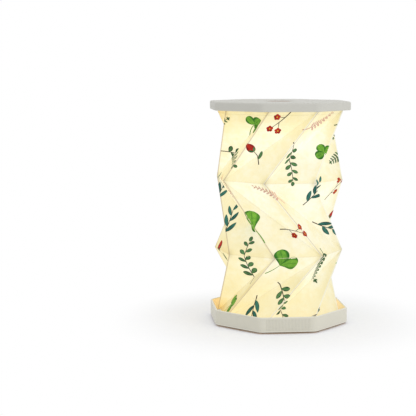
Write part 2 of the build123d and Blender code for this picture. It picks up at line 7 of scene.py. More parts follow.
import logging
from dataclasses import dataclass, field
from enum import Enum
from math import cos, pi, radians, sin

import bpy
import numpy as np
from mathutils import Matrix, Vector


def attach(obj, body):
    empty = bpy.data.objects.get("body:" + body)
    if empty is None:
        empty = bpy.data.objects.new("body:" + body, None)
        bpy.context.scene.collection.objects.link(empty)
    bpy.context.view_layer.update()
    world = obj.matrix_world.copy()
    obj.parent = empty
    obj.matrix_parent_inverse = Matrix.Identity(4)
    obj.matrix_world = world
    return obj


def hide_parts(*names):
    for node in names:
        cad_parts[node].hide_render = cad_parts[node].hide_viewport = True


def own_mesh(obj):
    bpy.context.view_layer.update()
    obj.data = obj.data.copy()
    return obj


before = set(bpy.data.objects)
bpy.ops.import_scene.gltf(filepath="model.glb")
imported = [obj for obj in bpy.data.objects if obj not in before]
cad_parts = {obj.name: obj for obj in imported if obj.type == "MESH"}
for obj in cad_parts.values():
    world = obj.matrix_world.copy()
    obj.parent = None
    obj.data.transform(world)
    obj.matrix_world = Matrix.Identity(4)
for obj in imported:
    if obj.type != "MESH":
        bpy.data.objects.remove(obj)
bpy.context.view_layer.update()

MM = 0.001
CLOUDS = (0.3, 0.7)  # most of a noise lies between these values
WHITE = (1.0, 1.0, 1.0, 1.0)
Pair = tuple[float, float]
Colour = tuple[float, float, float, float]
Array = np.ndarray
Piece = bpy.types.Object
Material = bpy.types.Material
log = logging.getLogger("lantern")


def srgb(red: int, green: int, blue: int) -> Colour:
    """Turn a colour as an eye reads it, 0 to 255 a channel, into a linear shader colour.

    Args:
        red: Red channel.
        green: Green channel.
        blue: Blue channel.

    Returns:
        Linear red, green, blue and an alpha of one.
    """
    share = np.array((red, green, blue)) / 255.0
    linear = np.where(share <= 0.04045, share / 12.92, ((share + 0.055) / 1.055) ** 2.4)
    return (*(float(value) for value in linear), 1.0)


def dimmed(colour: Colour, share: float) -> Colour:
    """Scale a colour to a share of its brightness."""
    return (*(value * share for value in colour[:3]), 1.0)


def rise(value: Array, low: float, high: float) -> Array:
    """Tell how far a number has come on its way from low to high, from 0 to 1."""
    return np.clip((value - low) / (high - low), 0, 1)


def put(name: str, data: bpy.types.ID) -> Piece:
    """Link a new object at the origin.

    Args:
        name: Name of the object.
        data: Its mesh, camera or light.

    Returns:
        The object.
    """
    made = bpy.data.objects.new(name, data)
    bpy.context.scene.collection.objects.link(made)
    return made


def make_object(name: str, points: Array, faces: Array, smooth: bool = True) -> Piece:
    """Put an array of points and faces into a new object at the origin.

    Args:
        name: Name of the piece.
        points: Places in millimetres, one row each.
        faces: Point numbers, one row for each face.
        smooth: Whether the faces are shaded smoothly.

    Returns:
        The linked object.
    """
    mesh = bpy.data.meshes.new(name)
    mesh.from_pydata((points * MM).tolist(), [], faces.tolist())
    mesh.update()
    if smooth:
        mesh.shade_smooth()
    return put(name, mesh)


def add_uv(piece: Piece, name: str, values: Array) -> None:
    """Give a piece a UV map of two numbers for each face corner."""
    piece.data.uv_layers.new(name=name).data.foreach_set("uv", values.astype(np.float32).ravel())


def add_attribute(piece: Piece, name: str, domain: str, values: Array) -> None:
    """Give a piece one number for each FACE or POINT, as the domain says."""
    attribute = piece.data.attributes.new(name, "FLOAT", domain)
    attribute.data.foreach_set("value", values.astype(np.float32).ravel())


class Value:
    """A node's output. Signs between it and other outputs or plain numbers add nodes."""

    def __init__(self, graph: "Graph", socket: bpy.types.NodeSocket) -> None:
        """Hold a socket and its graph."""
        self.graph, self.socket = graph, socket

    def __getitem__(self, key: int | str) -> "Value":
        """Take another output of the same node."""
        return Value(self.graph, self.socket.node.outputs[key])

    def __add__(self, other: "Value | float") -> "Value":
        """Add."""
        return self.graph.math("ADD", self, other)

    def __sub__(self, other: "Value | float") -> "Value":
        """Take away."""
        return self.graph.math("SUBTRACT", self, other)

    def __mul__(self, other: "Value | float") -> "Value":
        """Multiply."""
        return self.graph.math("MULTIPLY", self, other)

    def __abs__(self) -> "Value":
        """Drop the sign."""
        return self.graph.math("ABSOLUTE", self)

    def most(self, other: "Value | float") -> "Value":
        """Take the larger."""
        return self.graph.math("MAXIMUM", self, other)

    def near(self) -> "Value":
        """Give the distance to the nearest whole number."""
        return self.graph.math("PINGPONG", self, 0.5)

    def span(self, low: float, high: float, start: float = 0.0, end: float = 1.0) -> "Value":
        """Map a range of this number smoothly onto another range.

        Args:
            low: Value that gives start.
            high: Value that gives end.
            start: Result at and below low.
            end: Result at and above high.

        Returns:
            The mapped number.
        """
        return self.graph.take("MapRange", {0: self, 1: low, 2: high, 3: start, 4: end},
                               interpolation_type="SMOOTHSTEP")

    def fall(self, low: float, high: float) -> "Value":
        """Go smoothly from 1 at low down to 0 at high."""
        return self.span(low, high, 1.0, 0.0)

    def about(self, middle: float, spread: float) -> "Value":
        """Map most of a noise onto a middle, less and more a spread."""
        return self.span(*CLOUDS, middle - spread, middle + spread)


class Graph:
    """The nodes of a material or of the world, added and joined by short calls."""

    def __init__(self, owner: bpy.types.Material | bpy.types.World) -> None:
        """Start without nodes.

        Args:
            owner: The material or world.
        """
        owner.use_nodes = True
        self.owner, self.tree = owner, owner.node_tree
        self.tree.nodes.clear()

    @classmethod
    def named(cls, name: str) -> "Graph":
        """Start a new material."""
        return cls(bpy.data.materials.new(name))

    def add(self, kind: str, inputs: dict, **settings: object) -> bpy.types.Node:
        """Add a node.

        Args:
            kind: Blender's name of the node type without its common start.
            inputs: Values, plain numbers or colours by input name or number.
            **settings: Properties of the node.

        Returns:
            The node.
        """
        made = self.tree.nodes.new("ShaderNode" + kind)
        for key, value in settings.items():
            setattr(made, key, value)
        for key, value in inputs.items():
            if isinstance(value, Value):
                self.tree.links.new(value.socket, made.inputs[key])
            else:
                made.inputs[key].default_value = value
        return made

    def take(self, kind: str, inputs: dict, output: int | str = 0, **settings: object) -> Value:
        """Add a node and take one of its outputs."""
        return Value(self, self.add(kind, inputs, **settings).outputs[output])

    def math(self, operation: str, first: object, second: object = 0.0, clamp: bool = False) -> Value:
        """Work out one number from two, each a value or a plain number."""
        return self.take("Math", {0: first, 1: second}, operation=operation, use_clamp=clamp)

    def mix(self, share: object, first: object, second: object) -> Value:
        """Blend two colours by a share from 0 to 1."""
        return self.take("Mix", {0: share, 6: first, 7: second}, 2, data_type="RGBA")

    def place(self) -> Value:
        """Give the place on the piece, in metres."""
        return self.take("TexCoord", {}, "Object")

    def scaled(self, *scale: float) -> Value:
        """Give the place on the piece, scaled along X, Y and Z."""
        return self.take("Mapping", {"Vector": self.place(), "Scale": scale})

    def split(self, vector: Value) -> tuple[Value, Value, Value]:
        """Give the three parts of a vector."""
        parts = self.take("SeparateXYZ", {0: vector})
        return parts, parts[1], parts[2]

    def length(self, vector: Value) -> Value:
        """Give the length of a vector."""
        return self.take("VectorMath", {0: vector}, "Value", operation="LENGTH")

    def read(self, name: str) -> Value:
        """Read a number that the mesh holds."""
        return self.take("Attribute", {}, "Fac", attribute_name=name)

    def noise(self, vector: Value, size: float, detail: float = 3.0, roughness: float = 0.5) -> Value:
        """Give a cloudy pattern from 0 to 1.

        Args:
            vector: Where the pattern is read, in metres.
            size: Width of a cloud in millimetres.
            detail: Number of finer layers.
            roughness: Strength of the finer layers.

        Returns:
            The pattern.
        """
        return self.take("TexNoise", {"Vector": vector, "Scale": 1.0 / (size * MM), "Detail": detail,
                                      "Roughness": roughness}, "Fac")

    def bump(self, height: Value, depth: float, strength: float = 1.0) -> Value:
        """Turn a height, one of which is a depth in millimetres, into a surface normal."""
        return self.take("Bump", {"Strength": strength, "Distance": depth * MM, "Height": height})

    def finish(self, **inputs: object) -> Material:
        """Close the material with a Principled shader.

        Args:
            **inputs: Values, numbers or colours by input name, with underscores for spaces.

        Returns:
            The material.
        """
        named = {key.replace("_", " "): value for key, value in inputs.items()}
        self.add("OutputMaterial", {"Surface": self.take("BsdfPrincipled", named)})
        return self.owner


@dataclass(frozen=True)
class MouldedFinish:
    """Moulded plastic, rubber or foam with a fine even grain."""

    name: str
    colour: Colour
    roughness: float = 0.5
    grain: float = 0.5
    grain_depth: float = 0.02
    specular: float = 0.5
    cloud: float = 14.0
    cloud_share: float = 0.05
    gloss_spread: float = 0.05

    def paint(self, graph: Graph, colour: Value) -> dict[str, object]:
        """Give the shader's inputs of colour and light, here the clouded colour alone."""
        return {"Base_Color": colour}

    def material(self) -> Material:
        """Build the material: a clouded colour, a grained bump and an uneven gloss."""
        graph = Graph.named(self.name)
        place = graph.place()
        clouds, grain = graph.noise(place, self.cloud), graph.noise(place, self.grain, 2.0)
        colour = graph.mix(clouds, self.colour, dimmed(self.colour, 1 - self.cloud_share))
        gloss = graph.noise(place, self.grain * 6).about(self.roughness, self.gloss_spread)
        return graph.finish(**self.paint(graph, colour), Roughness=gloss,
                            Specular_IOR_Level=self.specular, Normal=graph.bump(grain, self.grain_depth))


@dataclass(frozen=True)
class TrayFinish(MouldedFinish):
    """Moulded plastic with painted shade in its flutes and below its foot edge, painted highlights on its rim
    and foot edge, and a painted glow of the paper's light on its inner wall.
    """

    inner_apothem: float = 57.6
    front: float = 59.2
    flute_pitch: float = 1.25
    flute_reach: float = 19.4
    flute_ends: Pair = (3.0, 12.8)
    flute_shade_share: float = 0.68
    flute_shade_dimming: float = 0.55
    foot_top: float = 1.65
    foot_edge: float = 2.05
    rim: float = 14.0
    soft: float = 0.3
    painted_highlight: Colour = srgb(246, 244, 234)
    painted_underside_shade: Colour = srgb(122, 106, 84)
    glow: Colour = (1.0, 0.52, 0.12, 1.0)
    strength: float = 0.30

    def paint(self, graph: Graph, colour: Value) -> dict[str, object]:
        """Add painted shade in the flutes and below the foot edge, painted highlights on the rim and foot
        edge, and a painted glow on the inner wall.

        An eight-sided distance, the largest of those along four directions, tells the inner wall
        from the rest.

        Args:
            graph: The material's nodes.
            colour: The clouded colour.

        Returns:
            The shader's inputs of colour and light.
        """
        x, y, z = graph.split(graph.scaled(1 / MM, 1 / MM, 1 / MM))
        distance = 0.0
        for turn in (0.0, pi / 4, pi / 2, 3 * pi / 4):
            distance = abs(x * cos(turn) + y * sin(turn)).most(distance)
        # Painted glow: the inner wall gives off the paper's warm light as emission, though it is no lamp.
        inside = distance.fall(self.inner_apothem + 0.1, self.inner_apothem + 0.9)
        lit = inside * z.span(4.0, 13.0, 0.6, 1.0) * z.fall(self.rim - 0.1, self.rim + self.soft)
        reach, (low, high) = self.flute_reach, self.flute_ends
        # Painted shade: the flutes are darkened as if in shadow.
        groove_shade = (x * (1 / self.flute_pitch)).near().fall(0.0, 0.4)
        groove_shade = groove_shade * y.fall(-self.front, self.soft - self.front) * abs(x).fall(reach, reach + self.soft)
        groove_shade = groove_shade * z.span(low - 0.2, low + 0.2) * z.fall(high - 0.2, high + 0.2)
        colour = graph.mix(groove_shade * self.flute_shade_share, colour, dimmed(self.colour, self.flute_shade_dimming))
        # Painted highlights: the rim top and a line at the foot edge are drawn paler.
        painted_highlight = z.span(self.rim, self.rim + self.soft, 0.0, 0.5)
        painted_highlight = painted_highlight.most(abs(z - self.foot_edge).span(0.15, 0.4, 0.6, 0.0))
        colour = graph.mix(painted_highlight, colour, self.painted_highlight)
        # Painted shade: below the foot edge the plastic is drawn dark brown, standing in for the shadow under
        # the tray.
        colour = graph.mix(z.fall(self.foot_top - 0.1, self.foot_top + 0.1), colour, self.painted_underside_shade)
        return {"Base_Color": colour, "Emission_Color": self.glow, "Emission_Strength": lit * self.strength}


@dataclass(frozen=True)
class MetalFinish:
    """Plated or drawn metal with faint scratches."""

    name: str
    colour: Colour
    roughness: float
    scratch: float = 0.25
    stretch: float = 14.0
    gloss_spread: float = 0.09
    dark_share: float = 0.86
    depth: float = 0.004

    def material(self) -> Material:
        """Build the material: a metal whose gloss is broken by fine drawn lines."""
        graph = Graph.named(self.name)
        lines = graph.noise(graph.scaled(1.0, 1.0, self.stretch), self.scratch, 4.0, 0.6)
        colour = graph.mix(lines, self.colour, dimmed(self.colour, self.dark_share))
        return graph.finish(Base_Color=colour, Metallic=1.0, Normal=graph.bump(lines, self.depth),
                            Roughness=lines.about(self.roughness, self.gloss_spread))


@dataclass(frozen=True)
class WoodFinish:
    """Oiled brown wood with growth lines along X, and a fine turned line near the rim."""

    name: str = "button_walnut"
    light: Colour = srgb(147, 109, 84)
    dark: Colour = srgb(135, 98, 72)
    pore: Colour = srgb(104, 70, 48)
    turned: Colour = srgb(168, 128, 102)
    line_pitch: float = 3.2
    line_bend: float = 14.0
    turned_radius: float = 10.3
    turned_width: float = 0.18
    pore_share: float = 0.35
    turned_share: float = 0.6
    roughness: float = 0.6
    coat: float = 0.7
    coat_roughness: float = 0.5
    depth: float = 0.03

    def material(self) -> Material:
        """Build the material: long bands bent by noise, short pores and the turned line."""
        graph = Graph.named(self.name)
        along = graph.scaled(0.18, 1.0, 1.0)
        phase = graph.split(along)[1] * (2 * pi / (self.line_pitch * MM))
        phase = phase + graph.noise(along, 9.0, 2.0) * self.line_bend
        bands = graph.math("SINE", phase).span(-1.0, 1.0)
        pores = graph.noise(graph.scaled(0.12, 1.0, 1.0), 0.35, 3.0, 0.7).span(0.52, 0.72)
        radius = graph.length(graph.scaled(1.0, 1.0, 0.0))
        line = abs(radius - self.turned_radius * MM).fall(0.0, self.turned_width * MM)
        colour = graph.mix(bands, self.dark, self.light)
        colour = graph.mix(pores * self.pore_share, colour, self.pore)
        colour = graph.mix(line * self.turned_share, colour, self.turned)
        height = bands * 0.3 - (pores + line)
        return graph.finish(Base_Color=colour, Roughness=self.roughness, Coat_Weight=self.coat,
                            Coat_Roughness=self.coat_roughness, Normal=graph.bump(height, self.depth))


@dataclass(frozen=True)
class BoardFinish:
    """Green circuit board with a faint pattern of tracks."""

    name: str = "circuit_board_green"
    colour: Colour = srgb(26, 92, 58)
    track: Colour = srgb(58, 128, 78)
    roughness: float = 0.35
    cell: float = 6.0
    track_share: float = 0.03
    depth: float = 0.03

    def material(self) -> Material:
        """Build the material: square cells of tracks under the green mask."""
        graph = Graph.named(self.name)
        cells = graph.take("TexBrick", {"Vector": graph.place(), "Scale": 1.0 / (self.cell * MM),
                                        "Mortar Size": self.track_share}, "Fac")
        return graph.finish(Base_Color=graph.mix(cells, self.colour, self.track),
                            Roughness=self.roughness, Normal=graph.bump(cells, self.depth))


@dataclass(frozen=True)
class OpalFinish:
    """Frosted opal plastic that shines where the lights are behind it."""

    name: str = "diffuser_opal"
    colour: Colour = srgb(250, 246, 232)
    shine: Colour = srgb(255, 240, 205)
    strength: float = 1.5
    roughness: float = 0.45
    frost: float = 0.3
    depth: float = 0.02

    def material(self) -> Material:
        """Build the material: a milky body with a soft glow and a fine frost."""
        graph = Graph.named(self.name)
        frost = graph.noise(graph.place(), self.frost, 2.0)
        return graph.finish(Base_Color=self.colour, Roughness=self.roughness, Emission_Strength=self.strength,
                            Emission_Color=graph.mix(frost, self.shine, self.colour),
                            Normal=graph.bump(frost, self.depth))


@dataclass
class FoldedWall:
    """The paper wall as a flat sheet folded onto three storeys of a twisted eight-sided prism."""

    sides: int = 8
    radius: float = 57.5
    rises: tuple[float, ...] = (61.5, 64.0, 62.4)
    storey_turns: tuple[float, ...] = (55.5, -54.2, 49.0)
    first_corner: float = 22.5
    bottom: float = 3.9
    bulge: float = 0.55
    bulge_range: Pair = (-0.4, 1.0)
    seed: int = 11
    corners: Array = field(init=False)
    shears: Array = field(init=False)
    heights: Array = field(init=False)
    bulges: Array = field(init=False)

    def __post_init__(self) -> None:
        """Work out the ring corners and the shape of each storey's flat cells."""
        levels = self.bottom + np.concatenate(([0.0], np.cumsum(self.rises)))
        starts = self.first_corner + np.concatenate(([0.0], np.cumsum(self.storey_turns)))
        turn = np.radians(starts[:, None] + 360.0 / self.sides * np.arange(self.sides + 1)[None, :])
        self.corners = np.stack((self.radius * np.sin(turn), -self.radius * np.cos(turn),
                                 np.broadcast_to(levels[:, None], turn.shape)), axis=-1)
        lower, upper = self.corners[:-1], self.corners[1:]
        positive = np.array(self.storey_turns) > 0
        mountain = np.linalg.norm(upper[:, 0] - lower[:, 0], axis=-1)
        valley = np.where(positive, np.linalg.norm(upper[:, 1] - lower[:, 0], axis=-1),
                          np.linalg.norm(upper[:, 0] - lower[:, 1], axis=-1))
        shear = (valley ** 2 - mountain ** 2 - self.cell ** 2) / (2 * self.cell)
        self.shears = np.where(positive, shear, -shear)
        self.heights = np.sqrt(mountain ** 2 - self.shears ** 2)
        draw = np.random.default_rng(self.seed)
        self.bulges = self.bulge * draw.uniform(*self.bulge_range, (len(self.rises), self.sides, 2))

    @property
    def cell(self) -> float:
        """Width of one flat cell along a ring."""
        return 2 * self.radius * sin(pi / self.sides)

    @property
    def top(self) -> float:
        """Height of the top ring."""
        return self.bottom + sum(self.rises)

    def fold(self, storey: Array, along: Array, up: Array) -> tuple[Array, Array]:
        """Fold cell places onto the wall.

        A cell has two triangles. On each, a point is a corner plus shares of the triangle's two
        sides, so every facet keeps its flat size. A gentle bulge lifts a facet along its normal by
        27 times the product of the three shares, which is 1 in the middle and 0 at the folds.

        Args:
            storey: Storey number of each place.
            along: Place along the ring, in cells.
            up: Place up the storey, from 0 to 1.

        Returns:
            Points in millimetres and outward normals.
        """
        cell = np.floor(along).astype(int)
        share = along - cell
        cell = cell % self.sides
        lower, lower_next = self.corners[storey, cell], self.corners[storey, cell + 1]
        upper, upper_next = self.corners[storey + 1, cell], self.corners[storey + 1, cell + 1]
        positive = np.array(self.storey_turns)[storey] > 0
        second = np.where(positive, share < up, share + up > 1)
        bulge = self.bulges[storey, cell, second.astype(int)][..., None]
        share, rise_share = share[..., None], up[..., None]
        points, normals = np.zeros(lower.shape), np.zeros(lower.shape)
        for chosen, start, first, last, first_share, last_share in (
                (positive & ~second, lower, lower_next, upper_next, share - rise_share, rise_share),
                (positive & second, lower, upper, upper_next, rise_share - share, share),
                (~positive & ~second, lower, lower_next, upper, share, rise_share),
                (~positive & second, upper_next, upper, lower_next, 1 - share, 1 - rise_share)):
            normal = np.cross(first - start, last - start)
            normal /= np.linalg.norm(normal, axis=-1, keepdims=True)
            normal = normal * np.sign(np.sum(normal[..., :2] * start[..., :2], axis=-1, keepdims=True))
            lift = 27 * first_share * last_share * (1 - first_share - last_share) * bulge
            place = start + first_share * (first - start) + last_share * (last - start) + lift * normal
            points = np.where(chosen[..., None], place, points)
            normals = np.where(chosen[..., None], normal, normals)
        return points, normals

    def wrap(self, across: Array, height: Array, proud: Array) -> Array:
        """Fold places of the flat sheet, in millimetres, onto the wall.

        Args:
            across: Place along the sheet.
            height: Place up the sheet.
            proud: Distance outside the paper.

        Returns:
            Points in millimetres.
        """
        edges = np.concatenate(([0.0], np.cumsum(self.heights)))
        offsets = np.concatenate(([0.0], np.cumsum(self.shears)))
        storey = np.clip(np.searchsorted(edges, height, side="right") - 1, 0, len(self.rises) - 1)
        up = np.clip((height - edges[storey]) / self.heights[storey], 0.0, 1.0)
        along = (across - offsets[storey] - self.shears[storey] * up) / self.cell
        points, normals = self.fold(storey, along, up)
        return points + proud[..., None] * normals


@dataclass(frozen=True)
class PaperFinish:
    """Cream paper lit from behind, with painted shade and a painted highlight at its folds, and warm at both
    ends.
    """

    name: str = "shade_paper_lit"
    body: Colour = (0.42, 0.37, 0.20, 1.0)
    tones: tuple[Colour, ...] = (
        (0.95, 0.97, 0.90, 1.0), (0.97, 0.90, 0.62, 1.0), (0.98, 0.85, 0.46, 1.0),
        (0.95, 0.68, 0.24, 1.0), (0.80, 0.50, 0.20, 1.0))
    painted_crease_shade: Colour = (0.34, 0.25, 0.16, 1.0)
    shine: float = 0.70
    roughness: float = 0.85
    mountain_edge: Pair = (0.012, 0.034)
    mountain_fold_shade: float = 0.62
    ring_edge: Pair = (0.002, 0.010)
    ring_fold_shade: float = 0.10
    fold_highlight_band: Pair = (0.965, 0.985)
    fold_shade_band: Pair = (0.80, 1.0)
    ring_foot_shade_band: Pair = (0.0, 0.16)
    corner_shade_along: Pair = (0.0, 0.14)
    corner_shade_up: Pair = (0.0, 0.12)
    fold_shade_warmth: float = 0.12
    ring_foot_shade_warmth: float = 0.10
    fold_highlight_share: float = 0.4
    fold_shade_loss: float = 0.05
    corner_shade_loss: float = 0.26
    mottle_loss: float = 0.3
    mottles: tuple[tuple[float, ...], ...] = (
        (26.0, 4.0, 0.55, 0.09), (5.0, 3.0, 0.6, 0.05), (1.1, 4.0, 0.7, 0.03))

    def material(self) -> Material:
        """Build the material.

        The fold map gives cells along U and storeys along V. Its whole numbers are the mountain
        and ring folds, where a thin tan line of painted shade lies in a warm band of painted shade;
        a paler line just before each mountain fold is a painted highlight, and the corners where
        folds meet and the foot of each storey get painted shade too. The glow attribute scales
        the light that comes through, and the warmth attribute and the mottles choose its tone.
        Each mottle is a noise of a size, detail, roughness and spread; the last is the fibres.
        """
        graph = Graph.named(self.name)
        place = graph.place()
        along, up, _ = graph.split(graph.take("UVMap", {}, uv_map="fold"))
        across, ring = graph.math("FRACT", along), up.near()
        # Painted highlight: a paler, cooler line just before each mountain fold.
        fold_highlight, turned = across.span(*self.fold_highlight_band), across.span(*self.fold_shade_band)
        # Painted shade: darker corners where the mountain and ring folds meet.
        corner_shade = along.near().fall(*self.corner_shade_along) * ring.fall(*self.corner_shade_up)
        mottle = 0.0
        for size, detail, roughness, spread in self.mottles:
            fibres = graph.noise(place, size, detail, roughness)
            mottle = fibres.about(0.0, spread) + mottle
        # Painted shade warms and darkens the band before each mountain fold.
        warmth = graph.read("warmth") + turned * self.fold_shade_warmth - fold_highlight * self.fold_highlight_share
        # Painted shade: the foot of each storey, just above a ring fold, is warmer and darker.
        warmth = warmth + graph.math("FRACT", up).fall(*self.ring_foot_shade_band) * self.ring_foot_shade_warmth
        ramp = graph.add("ValToRGB", {0: graph.math("ADD", warmth, mottle, True)})
        for number, tone in enumerate(self.tones):
            stops = ramp.color_ramp.elements
            stop = stops[number] if number < 2 else stops.new(1.0)
            stop.position, stop.color = number / (len(self.tones) - 1), tone
        # Painted shade: thin tan lines along the ring and mountain folds.
        line = ring.fall(*self.ring_edge) * self.ring_fold_shade
        line = line.most(across.fall(*self.mountain_edge) * self.mountain_fold_shade)
        # The glow drops with the paper's own mottle and with the painted shade at the fold corners and beside
        # the mountain folds.
        loss = mottle * self.mottle_loss + corner_shade * self.corner_shade_loss + turned * self.fold_shade_loss
        return graph.finish(Base_Color=graph.mix(line, self.body, self.painted_crease_shade), Roughness=self.roughness,
                            Emission_Color=graph.mix(line, Value(graph, ramp.outputs[0]), self.painted_crease_shade),
                            Emission_Strength=(graph.read("glow") - loss) * self.shine,
                            Normal=graph.bump(fibres, 0.03, 0.5))


@dataclass(frozen=True)
class LampGlow:
    """How brightly and how warmly the lamp's light comes through each face of the paper.

    Left is 1 at the far left of the wall and -1 at its far right, share is 0 at its foot and 1
    at its top, and aside is 1 where a face looks left. Over a band, an effect goes from none to
    all of it.
    """

    low_band: Pair = (0.42, 0.0)
    high_band: Pair = (0.33, 0.43)
    middle_band: Pair = (0.5, 0.375)
    top_band: Pair = (0.8, 1.0)
    warm_top_band: Pair = (0.86, 1.0)
    left_band: Pair = (0.4, 0.7)
    right_band: Pair = (0.55, 0.85)
    edge_band: Pair = (0.78, 1.0)
    leaning_band: Pair = (0.5, 0.6)
    aside_band: Pair = (0.70, 0.83)
    spot_band: Pair = (0.3, 0.0)
    lamp_height: float = 182.0
    full_direct: float = 0.6
    dim: float = 0.87
    bright: float = 1.05
    inner: float = 1.2
    top_lift: float = 0.11
    right_loss: float = 0.08
    left_lift: float = 0.04
    aside_loss: float = 0.05
    low_aside_loss: float = 0.14
    tone: float = 0.10
    indirect_warmth: float = 0.08
    left_warmth: float = 0.05
    edge_warmth: Pair = (0.38, 0.30)
    aside_warmth: Pair = (0.09, 0.04)
    low_warmth: Pair = (0.15, 0.17)
    top_warmth: float = 0.24
    spot_place: float = -0.35
    spot_coolness: float = 0.09

    def direct(self, wall: FoldedWall, middles: Array, normals: Array) -> Array:
        """Work out how much of the lamp's own light falls on the back of each face.

        The lamp under the lid shines down. Its share is the cosine at the paper, times the root
        of the cosine at the lamp, over the distance, and a facet whose back looks down gets none.

        Args:
            wall: The folded wall.
            middles: Middle of each face in millimetres.
            normals: Outward normal of each face.

        Returns:
            Share from 0 to 1.
        """
        towards = np.array((0.0, 0.0, self.lamp_height)) - middles
        distance = np.linalg.norm(towards, axis=1)
        facing = np.clip(-np.sum(towards * normals, axis=1) / distance, 0.0, 1.0)
        below = np.clip(towards[:, 2] / distance, 0.0, 1.0)
        return np.clip(facing * np.sqrt(below) * wall.radius / distance / self.full_direct, 0.0, 1.0)

    def store(self, piece: Piece, wall: FoldedWall, middles: Array, normals: Array,
              outside: Array) -> None:
        """Store the glow and the warmth of each face.

        Args:
            piece: The piece.
            wall: The folded wall.
            middles: Middle of each face in millimetres.
            normals: Outward normal of each face.
            outside: Whether a face belongs to the outside.
        """
        direct = self.direct(wall, middles, normals)
        share = rise(middles[:, 2], wall.bottom, wall.top)
        left, leftward = -middles[:, 0] / wall.radius, -normals[:, 0]
        low, high = rise(share, *self.low_band), rise(share, *self.high_band)
        middle, aside = rise(abs(share - 0.5), *self.middle_band), rise(leftward, *self.aside_band)
        glow = self.dim + (self.bright - self.dim) * direct + self.top_lift * rise(share, *self.top_band)
        glow += self.left_lift * middle * rise(left, *self.left_band)
        glow -= self.right_loss * rise(-left, *self.right_band)
        glow -= (self.aside_loss + self.low_aside_loss * low) * aside
        add_attribute(piece, "glow", "FACE", np.where(outside, glow, self.inner))
        warmth = self.tone + self.indirect_warmth * (1 - direct) + self.left_warmth * left
        warmth += (self.edge_warmth[0] - self.edge_warmth[1] * middle) * rise(left, *self.edge_band)
        warmth += self.aside_warmth[0] * aside
        warmth += self.aside_warmth[1] * high * rise(leftward, *self.leaning_band)
        warmth += low * (self.low_warmth[0] + self.low_warmth[1] * left)
        warmth += self.top_warmth * rise(share, *self.warm_top_band)
        warmth -= self.spot_coolness * high * rise(abs(left - self.spot_place), *self.spot_band)
        add_attribute(piece, "warmth", "FACE", warmth)


@dataclass(frozen=True)
class Skin:
    """Rows of points round the section of the paper, the last of which meets the first.

    Rows run up the outside, in over the upper hem and back under it, down the inside, and in
    and out along the lower hem. Each row of the outside has one of the inside behind it.
    """

    rows: Array
    columns: Array
    ladder: Array
    rising: Array
    wall_rows: int

    def strip(self, first: int, last: int) -> tuple[Array, Array]:
        """List rows of the outside, upwards, and those behind them, downwards."""
        chosen = np.arange(first, last + 1)
        return chosen, (2 * self.wall_rows + 2 - chosen)[::-1]


